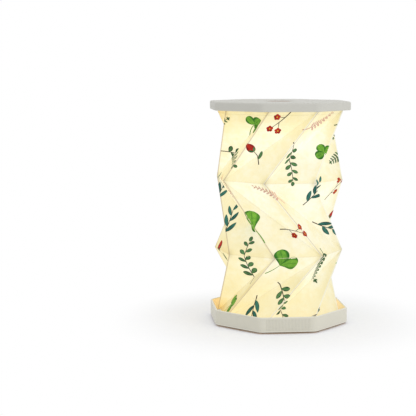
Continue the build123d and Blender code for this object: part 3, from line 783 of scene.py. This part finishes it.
@dataclass
class PaperShade:
    """The paper wall between two collars, which stay with the rings that clamp their hems."""

    wall: FoldedWall
    steps: int = 30
    collar_rows: int = 4
    crowding: float = 0.6
    thickness: float = 0.35
    lip: float = 0.3
    hem_width: float = 8.5
    hem_map: tuple[float, ...] = (0.02, 0.2, 0.2)
    travel: float = 175.8
    play: float = 0.02

    def shares(self) -> Array:
        """Space the grid lines of a cell so that they crowd towards its folds."""
        even = np.linspace(0.0, 1.0, self.steps + 1)[:-1]
        return even - self.crowding * np.sin(2 * pi * even) / (2 * pi)

    def collar_heights(self) -> Pair:
        """Give the heights at which the wall leaves the lower collar and meets the upper one."""
        share = self.shares()[self.collar_rows]
        return self.wall.bottom + share * self.wall.rises[0], self.wall.top - share * self.wall.rises[-1]

    def skin(self) -> Skin:
        """Place the closed skin row by row, with U in cells round it and V in storeys up it.

        Returns:
            The skin. A band's cells are halved from lower left to upper right where it rises.
        """
        wall, shares, storeys_up = self.wall, self.shares(), len(self.wall.rises)
        columns = (np.arange(wall.sides)[:, None] + shares[None, :]).ravel()
        storeys = np.append(np.repeat(np.arange(storeys_up), self.steps), storeys_up - 1)
        ups = np.append(np.tile(shares, storeys_up), 1.0)
        outer, _ = wall.fold(*np.broadcast_arrays(storeys[:, None], columns[None, :], ups[:, None]))
        low, high = self.collar_heights()
        outer[self.collar_rows, :, 2], outer[-1 - self.collar_rows, :, 2] = low, high
        inward = 1 - self.thickness / wall.radius
        hem_share = 1 - self.hem_width / (wall.radius * cos(pi / wall.sides))

        def hem(ring: Array, *places: Pair) -> Array:
            """Repeat a ring, scaled towards the middle and at another height for each place."""
            return np.array([np.column_stack((ring[:, :2] * share, np.full(len(ring), height)))
                             for share, height in places])

        above, below = wall.top + self.lip, wall.bottom - self.lip
        upper = hem(outer[-1], (1.0, above), (hem_share, above), (hem_share, wall.top))
        lower = hem(outer[0], (hem_share, wall.bottom), (hem_share, below), (1.0, below))
        rows = np.concatenate((outer, upper, (outer * (inward, inward, 1.0))[::-1], lower))
        heights, beyond = storeys + ups, np.array(self.hem_map)
        ladder = np.concatenate((heights, storeys_up + beyond, heights[::-1], -beyond[::-1]))
        leans = np.array(wall.storey_turns)[storeys] > 0
        rising = np.concatenate((leans, np.ones(3, bool), ~leans[:-1][::-1], np.ones(4, bool)))
        return Skin(rows, columns, ladder, rising, len(storeys))

    def piece(self, name: str, skin: Skin, chosen: Array) -> Piece:
        """Close some rows of the skin into a piece with its fold map and its glow.

        A cell between two rows and two columns is halved into two triangles, whose corners are
        counted in steps up and along from the cell's lower left.

        Args:
            name: Name of the piece.
            skin: The whole skin.
            chosen: Row numbers in order round the section.

        Returns:
            The piece.
        """
        count, around = len(chosen), len(skin.columns)
        following = np.roll(chosen, -1)
        row, column = np.arange(count)[:, None, None], np.arange(around)[:, None]
        lean = np.broadcast_to(skin.rising[chosen].astype(int)[:, None], (count, around))
        none, one = np.zeros_like(lean), np.ones_like(lean)
        along = np.stack((none, one, lean, 1 - lean, one, none), -1).reshape(count, around, 2, 3)
        along = np.moveaxis(along, 2, 0)
        up = np.broadcast_to(np.array(((0, 0, 1), (0, 1, 1)))[:, None, None, :], along.shape)
        faces = ((row + up) % count * around + (column + along) % around).reshape(-1, 3)
        points = skin.rows[chosen].reshape(-1, 3)
        piece = make_object(name, points, faces)

        left = np.append(skin.columns, float(self.wall.sides))[column + along]
        height = np.where(up == 0, skin.ladder[chosen][:, None, None], skin.ladder[following][:, None, None])
        add_uv(piece, "fold", np.stack((left, height), -1))
        capped = following != (chosen + 1) % len(skin.rows)
        piece.data.polygons.foreach_set("use_smooth", np.tile(np.repeat(~capped, around), 2))

        corners = points[faces]
        normals = np.cross(corners[:, 1] - corners[:, 0], corners[:, 2] - corners[:, 0])
        normals /= np.maximum(np.linalg.norm(normals, axis=1, keepdims=True), 1e-9)
        outside = np.tile(np.repeat((chosen < skin.wall_rows - 1) & ~capped, around), 2)
        LampGlow().store(piece, self.wall, corners.mean(axis=1), normals, outside)
        piece.data.materials.append(PaperFinish().material())
        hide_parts("paper_shade")
        log.info("%s: %d faces", name, len(faces))
        return piece

    def build(self) -> None:
        """Build the wall and the two collars; the wall and the lower collar ride with the shade, the upper
        collar with the lid.
        """
        skin = self.skin()
        count = skin.wall_rows
        low, high = self.collar_rows, count - 1 - self.collar_rows
        up, down = skin.strip(low, high)
        self.attach(self.piece("shade_paper_wall", skin, np.concatenate((up, down))))
        up, down = skin.strip(0, low)
        hem = np.arange(2 * count + 3, 2 * count + 6)
        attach(self.piece("shade_paper_lower_collar", skin, np.concatenate((up, down, hem))), "shade")
        up, down = skin.strip(high, count - 1)
        hem = np.arange(count, count + 3)
        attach(self.piece("shade_paper_upper_collar", skin, np.concatenate((up, hem, down))), "lid")

    def attach(self, piece: Piece) -> None:
        """Let a piece turn with the shade, and give it a mesh of its own.

        Args:
            piece: The piece.
        """
        low, high = self.collar_heights()
        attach(piece, "shade")
        keep = 1 - (self.travel + self.play) / (high - low)
        low * MM
        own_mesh(piece)


class Ink(Enum):
    """Inks of the printed sprigs: light tone, dark tone and share of veins."""

    FERN = (srgb(92, 134, 82), srgb(8, 34, 24), 0.5)
    SAGE = (srgb(98, 146, 92), srgb(10, 48, 34), 0.4)
    TEAL = (srgb(62, 128, 116), srgb(6, 44, 46), 0.5)
    LEAF = (srgb(130, 190, 66), srgb(40, 106, 34), 0.6)
    ROSE = (srgb(236, 204, 184), srgb(206, 146, 132), 0.2)
    RED = (srgb(206, 54, 38), srgb(128, 22, 20), 0.3)
    TWIG = (srgb(88, 70, 52), srgb(38, 36, 32), 0.0)
    GOLD = (srgb(240, 190, 74), srgb(214, 140, 36), 0.0)


@dataclass(frozen=True)
class InkFinish:
    """Watercolour ink on paper: pooled darker at the edge, paler in the middle, with a midrib."""

    ink: Ink
    through: float = 0.08
    pool: float = 3.2
    pool_share: float = 0.40
    edge_share: float = 0.65
    edge_band: Pair = (0.22, 0.40)
    mean_tone: float = 0.35
    midrib_width: float = 0.05
    side_veins: float = 9.0
    side_lean: float = 7.0
    side_width: float = 0.12
    side_share: float = 0.5
    roughness: float = 0.8
    specular: float = 0.2

    def material(self) -> Material:
        """Build the material on the blade map, U along a leaf and V across it."""
        light, dark, veins = self.ink.value
        graph = Graph.named("ink_" + self.ink.name.lower())
        along, side, _ = graph.split(graph.take("UVMap", {}, uv_map="blade"))
        across = abs(side - 0.5)
        ribs = (along * self.side_veins - across * self.side_lean).near().fall(0.0, self.side_width)
        vein = across.fall(0.0, self.midrib_width).most(ribs * self.side_share) * veins
        pools = graph.noise(graph.place(), self.pool, 3.0, 0.6).span(*CLOUDS)
        share = pools * self.pool_share + across.span(*self.edge_band) * self.edge_share
        share = graph.math("ADD", share, graph.read("tone") - self.mean_tone, True)
        colour = graph.mix(vein, graph.mix(share, light, dark), dark)
        return graph.finish(Base_Color=colour, Roughness=self.roughness, Specular_IOR_Level=self.specular,
                            Emission_Color=colour, Emission_Strength=self.through)


BLADE_FIELDS = ("x", "y", "heading", "length", "half_width", "bend", "swell", "point", "stem", "proud")
BLADE_USUAL = {"swell": 1.0, "point": 0.9, "proud": 0.14}
UP = 90.0  # heading of what grows up the sheet, in degrees
Sprig = dict[Ink, Array]


def blades(**columns: object) -> Array:
    """Line up leaves or stems as rows, one column for each of their sizes.

    Args:
        **columns: Numbers or arrays by name: place, heading and bend in degrees, length and half
            width in millimetres, swell that moves the widest place, point that sharpens the tip,
            stem as 1 for an even strip, and proud, the distance outside the paper.

    Returns:
        One row for each leaf.
    """
    values = [columns.get(name, BLADE_USUAL.get(name, 0.0)) for name in BLADE_FIELDS]
    return np.stack(np.broadcast_arrays(*(np.atleast_1d(np.asarray(v, float)) for v in values)), axis=1)


def arc(length: object, bend: object, heading: object, share: Array) -> tuple[Array, ...]:
    """Follow an arc of a circle, whose heading turns evenly by the bend over its length.

    Args:
        length: Length in millimetres.
        bend: Whole turn in degrees.
        heading: Heading at the start, in degrees from across the sheet.
        share: Places along the arc from 0 to 1.

    Returns:
        X and Y from the start, and the heading in radians, at each place.
    """
    turn, start = np.radians(bend) + 1e-6, np.radians(heading)
    angle, radius = start + turn * share, length / turn
    return radius * (np.sin(angle) - np.sin(start)), radius * (np.cos(start) - np.cos(angle)), angle


def sides(count: int) -> Array:
    """Tell left and right by turns, as 1 and -1."""
    return np.where(np.arange(count) % 2 == 0, 1.0, -1.0)


@dataclass(frozen=True)
class Stem:
    """A stem that starts at the origin and heads up the sheet, bent to an arc."""

    length: float
    bend: float
    half_width: float = 0.45
    proud: float = 0.10

    def at(self, share: object) -> tuple[Array, ...]:
        """Give X, Y and the heading in degrees at places along the stem."""
        x, y, angle = arc(self.length, self.bend, UP, np.atleast_1d(np.asarray(share, float)))
        return x, y, np.degrees(angle)

    def leaves(self, share: object, lean: object, length: object, half_width: object,
               **columns: object) -> Array:
        """Set leaves at places along the stem, each leaning off its heading there."""
        x, y, heading = self.at(share)
        return blades(x=x, y=y, heading=heading + lean, length=length, half_width=half_width, **columns)

    def join(self, *parts: Array) -> Array:
        """Add the stem itself to some leaves of the same ink."""
        line = blades(heading=UP, length=self.length, half_width=self.half_width, bend=self.bend,
                      stem=1.0, proud=self.proud)
        return np.concatenate((*parts, line))


def fern() -> Sprig:
    """Draw a fern frond: paired slips that shorten towards the tip."""
    stem, side = Stem(36.0, 28.0), sides(16)
    share = np.repeat(np.linspace(0.16, 0.95, 8), 2)
    size = 8.6 * (1.08 - share) ** 0.6 * np.minimum(1.0, 0.55 + 1.6 * share)
    slips = stem.leaves(share, side * 58, size, 0.13 * size + 0.3, bend=-side * 26, swell=0.8, point=0.8)
    return {Ink.FERN: stem.join(slips, stem.leaves(0.95, 0.0, 3.6, 0.7))}


def eucalyptus() -> Sprig:
    """Draw a eucalyptus stem with round leaves in pairs."""
    stem, side = Stem(40.0, -34.0), sides(10)
    share = np.repeat(np.linspace(0.22, 0.90, 5), 2) + np.tile((0.0, 0.05), 5)
    size = 8.0 * (1.15 - 0.55 * share)
    leaves = stem.leaves(share, side * 50, size, 0.25 * size, bend=side * 12, swell=1.25, point=0.75)
    end = stem.leaves(1.0, 0.0, 4.4, 1.5, point=0.6)
    return {Ink.SAGE: np.concatenate((leaves, end)), Ink.TWIG: stem.join()}


def olive() -> Sprig:
    """Draw an olive twig with slim leaves set by turns."""
    stem, side, share = Stem(30.0, 22.0), sides(6), np.linspace(0.2, 0.98, 6)
    size = 12.0 * (1.12 - 0.4 * share)
    leaves = stem.leaves(share, side * 38, size, 0.15 * size, bend=-side * 18, swell=0.95, point=0.9)
    return {Ink.TEAL: leaves, Ink.TWIG: stem.join()}


def ginkgo() -> Sprig:
    """Draw a ginkgo leaf: a stalk and a fan of two lobes."""
    stem, side = Stem(13.0, 24.0), sides(2)
    return {Ink.LEAF: stem.join(stem.leaves(np.ones(2), side * 27, 15.0, 6.4, bend=side * 30, swell=1.9,
                                            point=0.62, proud=(0.14, 0.17)))}


def trefoil() -> Sprig:
    """Draw a clover leaf: three rounded leaflets on a bent stalk."""
    stem = Stem(15.0, -40.0)
    return {Ink.LEAF: stem.join(stem.leaves(np.ones(3), (-88.0, 0.0, 88.0), 8.6, 4.1, swell=1.35,
                                            point=0.55, proud=(0.14, 0.16, 0.18)))}


def heather() -> Sprig:
    """Draw a spike of small bells in two rows."""
    stem, side, share = Stem(34.0, 36.0), sides(16), np.linspace(0.28, 1.0, 16)
    size = 4.6 * (1.25 - 0.75 * share)
    bells = stem.leaves(share, side * (62 - 22 * share), size, 0.2 * size, swell=1.25, point=0.6)
    return {Ink.ROSE: stem.join(bells)}


def blossom() -> Sprig:
    """Draw a forked twig with three five-petalled flowers."""
    stem, share = Stem(24.0, -18.0), np.array((1.0, 0.62, 0.36))
    reach, lean = np.array((0.0, 8.0, 6.5)), np.array((0.0, 46.0, -52.0))
    x, y, heading = stem.at(share)
    turned = np.radians(heading + lean)
    x, y = x + reach * np.cos(turned), y + reach * np.sin(turned)
    forks = stem.leaves(share[1:], lean[1:], reach[1:], 0.3, stem=1.0, proud=0.10)
    petal = np.tile(np.arange(5), 3)
    petals = blades(x=np.repeat(x, 5), y=np.repeat(y, 5), heading=petal * 72.0 + 18.0, length=2.9,
                    half_width=1.25, swell=1.4, point=0.5, proud=0.14 + 0.004 * petal)
    eyes = blades(x=x - 0.7, y=y, length=1.4, half_width=0.7, point=0.5, proud=0.19)
    return {Ink.RED: petals, Ink.GOLD: eyes, Ink.TWIG: stem.join(forks)}


def rosebud() -> Sprig:
    """Draw a closed bud on a stalk with two sepals and a leaf."""
    stem, fan = Stem(14.0, 20.0), np.array((16.0, -16.0, 0.0))
    bud = stem.leaves(np.ones(3), fan, (9.0, 9.0, 10.0), (2.4, 2.4, 2.6), bend=-fan * 1.4, swell=0.8,
                      point=0.7, proud=(0.14, 0.16, 0.18))
    sepals = stem.leaves(np.ones(2), fan[:2] * 2.2, 4.6, 0.9, proud=0.21)
    leaf = stem.leaves(0.35, -46.0, 8.0, 1.7, bend=24.0)
    return {Ink.RED: bud, Ink.SAGE: np.concatenate((sepals, leaf)), Ink.TWIG: stem.join()}


KINDS = (*[fern] * 9, *[eucalyptus] * 9, *[olive] * 9, *[ginkgo] * 6, *[trefoil] * 6, *[heather] * 5,
         *[blossom] * 7, *[rosebud] * 3)


@dataclass
class BotanicalPrint:
    """A scattered print of garden sprigs on the flat sheet, folded with it."""

    wall: FoldedWall
    shade: PaperShade
    columns: int = 9
    rows: int = 6
    jitter: float = 0.26
    scales: Pair = (0.98, 1.22)
    tries: int = 40
    edge_margin: float = 0.4
    tip_gap: float = 0.015
    tones: Pair = (0.15, 0.55)
    seed: int = 5
    large_grid: tuple[int, int] = (25, 9)
    small_grid: tuple[int, int] = (10, 5)
    large_length: float = 8.2

    def scatter(self) -> Sprig:
        """Place the sprigs on a loosened lattice over the flat sheet.

        The kinds are dealt in a mixed order. Every other row is set half a column along. Each
        sprig is tried at a number of places, turns and sizes, and the one that leaves most room
        to its neighbours is kept.

        Returns:
            Leaves and stems of the whole sheet by ink.
        """
        draw = np.random.default_rng(self.seed)
        across, height = self.wall.sides * self.wall.cell, self.wall.heights.sum()
        pitch = np.array((across / self.columns, height / self.rows))
        taken = np.zeros((0, 2))
        gathered: dict[Ink, list[Array]] = {ink: [] for ink in Ink}
        for number, kind in enumerate(draw.permutation(len(KINDS))[:self.columns * self.rows]):
            row, column = divmod(number, self.columns)
            middle = np.array((column + 0.5 * (row % 2) + 0.25, row + 0.5))
            sprig = KINDS[kind]()
            best, room = {}, -1.0
            for _ in range(self.tries):
                spot = (middle + draw.uniform(-self.jitter, self.jitter, 2)) * pitch
                moved = self.move(sprig, spot, draw.uniform(0, 360), draw.uniform(*self.scales))
                ends = np.concatenate([self.ends(rows) for rows in moved.values()])
                gap = self.gap(ends, taken, across)
                if gap > room:
                    best, room, kept = moved, gap, ends
            taken = np.concatenate((taken, kept))
            for ink, rows in best.items():
                gathered[ink].append(rows)
        return {ink: np.concatenate(parts) for ink, parts in gathered.items() if parts}

    @staticmethod
    def move(sprig: Sprig, spot: Array, turn: float, scale: float) -> Sprig:
        """Turn and scale a sprig about its middle and move it to a spot.

        Args:
            sprig: Leaves and stems by ink.
            spot: Place of the middle on the sheet.
            turn: Turn in degrees.
            scale: Factor of size.

        Returns:
            The moved sprig.
        """
        extent = np.concatenate(list(sprig.values()))[:, :2]
        centre = (extent.min(0) + extent.max(0)) / 2
        spin = radians(turn)
        matrix = scale * np.array(((cos(spin), sin(spin)), (-sin(spin), cos(spin))))
        moved = {ink: rows.copy() for ink, rows in sprig.items()}
        for rows in moved.values():
            rows[:, :2] = (rows[:, :2] - centre) @ matrix + spot
            rows[:, 2] += turn
            rows[:, 3:5] *= scale
        return moved

    @staticmethod
    def ends(rows: Array) -> Array:
        """Find both ends of each leaf or stem, taken as straight along its mean heading.

        Args:
            rows: Leaves and stems by row.

        Returns:
            All starts, then all far ends.
        """
        heading = np.radians(rows[:, 2] + rows[:, 5] / 2)
        reach = rows[:, 3:4] * np.stack((np.cos(heading), np.sin(heading)), axis=1)
        return np.concatenate((rows[:, :2], rows[:, :2] + reach))

    @staticmethod
    def gap(ends: Array, taken: Array, across: float) -> float:
        """Measure how near new ends come to taken ones, round the closed sheet.

        Args:
            ends: Ends of the new leaves and stems.
            taken: Ends of those in place.
            across: Width of the sheet.

        Returns:
            The least distance, or 0 where none is in place.
        """
        if not len(taken):
            return 0.0
        apart = ends[:, None, :] - taken[None, :, :]
        apart[..., 0] -= across * np.round(apart[..., 0] / across)
        return float(np.sqrt(np.min(np.sum(apart ** 2, axis=-1))))

    def lay(self, rows: Array, grid: tuple[int, int]) -> tuple[Array, ...]:
        """Lay leaves as grids on the wall.

        A leaf's midrib is an arc, and its half width is the swelled and pointed power of
        4 s (1 - s) along it; a stem keeps an even width that thins to a half.

        Args:
            rows: Leaves by row.
            grid: Points along and across one leaf.

        Returns:
            Points in millimetres, faces, the blade map for each face corner, and a tone by point.
        """
        x, y, heading, length, half, bend, swell, point, stem, proud = rows.T[:, :, None, None]
        along = np.linspace(self.tip_gap, 1 - self.tip_gap, grid[0])[None, :, None]
        across = np.linspace(-1.0, 1.0, grid[1])[None, None, :]
        rib_x, rib_y, angle = arc(length, bend, heading, along)
        swelled = along ** swell
        width = half * np.where(stem > 0.5, 1 - 0.5 * along, (4 * swelled * (1 - swelled)) ** point)
        flat_x = x + rib_x - width * across * np.sin(angle)
        flat_y = y + rib_y + width * across * np.cos(angle)
        points = self.wall.wrap(flat_x, flat_y, proud + 0 * flat_x)

        def cells(values: Array) -> Array:
            """List the four corners of each cell of the grids."""
            near, far = values[:, :-1], values[:, 1:]
            return np.stack((near[..., :-1], far[..., :-1], far[..., 1:], near[..., 1:]), -1)

        top = self.wall.heights.sum() - self.edge_margin
        inside = cells((flat_y > self.edge_margin) & (flat_y < top)).all(axis=-1)
        faces = cells(np.arange(flat_x.size).reshape(flat_x.shape))[inside]
        blade = np.stack(np.broadcast_arrays(along, (across + 1) / 2, flat_x)[:2], axis=-1).reshape(-1, 2)
        tones = np.random.default_rng(self.seed + 1).uniform(*self.tones, len(rows))
        return points.reshape(-1, 3), faces, blade[faces], np.repeat(tones, grid[0] * grid[1])

    def build(self) -> None:
        """Build one piece for each ink, and one for what it prints on the upper collar."""
        for ink, rows in self.scatter().items():
            large = rows[:, 3] > self.large_length
            parts, offset = [], 0
            for chosen, grid in ((large, self.large_grid), (~large, self.small_grid)):
                if chosen.any():
                    points, faces, blade, tone = self.lay(rows[chosen], grid)
                    parts.append((points, faces + offset, blade, tone))
                    offset += len(points)
            points, faces, blade, tone = (np.concatenate(column) for column in zip(*parts))
            name, material = "print_" + ink.name.lower(), InkFinish(ink).material()
            raised = points[faces][..., 2].min(axis=1) > self.shade.collar_heights()[1]
            self.shade.attach(self.piece(name, points, faces[~raised], blade[~raised], tone, material))
            if raised.any():
                piece = self.piece(name + "_upper", points, faces[raised], blade[raised], tone, material)
                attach(piece, "lid")

    @staticmethod
    def piece(name: str, points: Array, faces: Array, blade: Array, tone: Array,
              material: Material) -> Piece:
        """Make a piece of some of the faces, with the points that they use.

        Args:
            name: Name of the piece.
            points: All points in millimetres.
            faces: The piece's faces.
            blade: The blade map of each face corner.
            tone: A tone for each point.
            material: The ink.

        Returns:
            The piece.
        """
        used, faces = np.unique(faces, return_inverse=True)
        piece = make_object(name, points[used], faces.reshape(-1, 4))
        add_uv(piece, "blade", blade)
        add_attribute(piece, "tone", "POINT", tone[used])
        piece.data.materials.append(material)
        log.info("%s: %d faces", name, len(piece.data.polygons))
        return piece


@dataclass
class Housing:
    """The rigid pieces, which keep their modelled meshes and get their finishes."""

    shell: Colour = srgb(212, 211, 203)
    # The tray is the lid's plastic; its lighter, warmer colour is painted light from the glowing paper.
    tray: Colour = srgb(228, 225, 211)

    def finishes(self) -> tuple[tuple[object, str], ...]:
        """List each finish with the pieces that wear it."""
        return (
            (MouldedFinish("lid_plastic", self.shell, 0.5, specular=0.25), "lid_shell"),
            (TrayFinish("tray_plastic", self.tray, 0.46), "base_tray"),
            (MouldedFinish("inner_plastic", srgb(232, 230, 222)),
             "inner_cover lamp_cup button_carrier upper_hem_ring lower_hem_ring"),
            (MouldedFinish("foot_rubber", srgb(70, 68, 66), 0.85, 0.9, 0.05), "base_feet"),
            (MouldedFinish("switch_black", srgb(32, 32, 34), 0.4), "switch_body switch_plunger"),
            (MouldedFinish("pad_foam", srgb(58, 58, 60), 0.95, 0.7, 0.15), "battery_pads"),
            (MouldedFinish("lead_red", srgb(176, 44, 38), 0.5, 0.4), "battery_leads"),
            (MouldedFinish("lead_white", srgb(224, 222, 214), 0.5, 0.4), "control_lead led_leads"),
            (MouldedFinish("led_phosphor", srgb(246, 214, 96), 0.5, 0.2), "led_chips"),
            (MetalFinish("magnet_nickel", srgb(206, 204, 198), 0.21), "base_magnets lid_magnets"),
            (MetalFinish("screw_zinc", srgb(178, 180, 182), 0.33),
             "upper_ring_screws lower_ring_screws cover_screws control_board_screws charging_board_screws"),
            (MetalFinish("socket_steel", srgb(196, 198, 200), 0.26), "charging_socket"),
            (MetalFinish("cell_foil", srgb(188, 190, 192), 0.41, 1.2), "battery_cells"),
            (BoardFinish(), "control_board charging_board led_board"),
            (OpalFinish(), "diffuser"),
            (WoodFinish(), "power_button"),
        )

    def dress(self) -> None:
        """Give every kept node its finish."""
        for finish, names in self.finishes():
            material = finish.material()
            for name in names.split():
                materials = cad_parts[name].data.materials
                materials.clear()
                materials.append(material)
                log.info("%s: %s", name, material.name)


@dataclass
class Studio:
    """Camera, soft lights and a pale floor at the photograph's angle."""

    camera_place: tuple[float, float, float] = (-0.1566, -1.0058, 0.2312)
    camera_dip: float = 7.253
    camera_turn: float = 5.276
    lens: float = 98.4
    sensor: float = 36.0
    sky: float = 0.80
    key_power: float = 5.0
    key_size: float = 1.1
    key_place: tuple[float, float, float] = (1.25, -1.05, 0.75)
    key_aim: tuple[float, float, float] = (0.0, 0.0, 0.1)
    floor_reach: float = 6000.0
    floor_colour: Colour = (0.84, 0.84, 0.84, 1.0)
    floor_lift: float = 0.19
    lift_colour: Colour = (0.94, 0.97, 1.1, 1.0)
    contact_shade_band: Pair = (0.050, 0.066)
    fade_band: Pair = (0.072, 0.16)

    def camera(self) -> None:
        """Set the camera where the photograph was taken from."""
        data = bpy.data.cameras.new("camera")
        data.lens, data.sensor_width = self.lens, self.sensor
        camera = put("camera", data)
        camera.location = self.camera_place
        camera.rotation_euler = (radians(90 - self.camera_dip), 0.0, radians(-self.camera_turn))
        bpy.context.scene.camera = camera

    @staticmethod
    def seen(graph: Graph) -> Value:
        """Tell rays from the camera, also by way of gloss or glass, from rays that carry light."""
        path = graph.take("LightPath", {}, "Is Camera Ray")
        return path.most(path["Is Glossy Ray"].most(path["Is Transmission Ray"]))

    def floor(self) -> None:
        """Lay a pale floor that fades to the white of the backdrop away from the lamp."""
        corners = self.floor_reach * np.array(((-1, -1, 0), (1, -1, 0), (1, 1, 0), (-1, 1, 0)), float)
        floor = make_object("floor", corners, np.array(((0, 1, 2, 3),)), False)
        graph = Graph.named("floor_white")
        seen, distance = self.seen(graph), graph.length(graph.place())
        # Painted shadow: the lift falls away near the lamp's foot, leaving a darker ring of floor round the
        # tray.
        lift = seen * distance.span(*self.contact_shade_band, 0.0, self.floor_lift)
        matte = graph.take("BsdfDiffuse", {"Color": self.floor_colour})
        lifted = graph.take("Emission", {"Color": self.lift_colour, "Strength": lift})
        near = graph.take("AddShader", {0: matte, 1: lifted})
        white = graph.take("Emission", {"Color": WHITE, "Strength": 1.0})
        fade = distance.span(*self.fade_band) * seen
        graph.add("OutputMaterial", {"Surface": graph.take("MixShader", {0: fade, 1: near, 2: white})})
        floor.data.materials.append(graph.owner)

    def lights(self) -> None:
        """Hang one large softbox to the right and light the rest by an even sky."""
        light = bpy.data.lights.new("key", "AREA")
        light.size, light.energy = self.key_size, self.key_power
        key = put("key", light)
        key.location = self.key_place
        towards = Vector(self.key_aim) - Vector(self.key_place)
        key.rotation_euler = towards.to_track_quat("-Z", "Y").to_euler()
        world = bpy.data.worlds.new("sky")
        graph = Graph(world)
        strength = self.seen(graph).span(0.0, 1.0, self.sky, 1.0)
        graph.add("OutputWorld", {0: graph.take("Background", {"Strength": strength, "Color": WHITE})})
        bpy.context.scene.world = world


def main() -> None:
    """Build the studio and the lantern, and report each piece."""
    logging.basicConfig(level=logging.INFO, format="%(message)s")
    bpy.context.scene.view_settings.view_transform = "Standard"
    studio = Studio()
    studio.camera()
    studio.floor()
    studio.lights()
    wall = FoldedWall()
    shade = PaperShade(wall)
    shade.build()
    BotanicalPrint(wall, shade).build()
    Housing().dress()


if __name__ == "__main__":
    main()
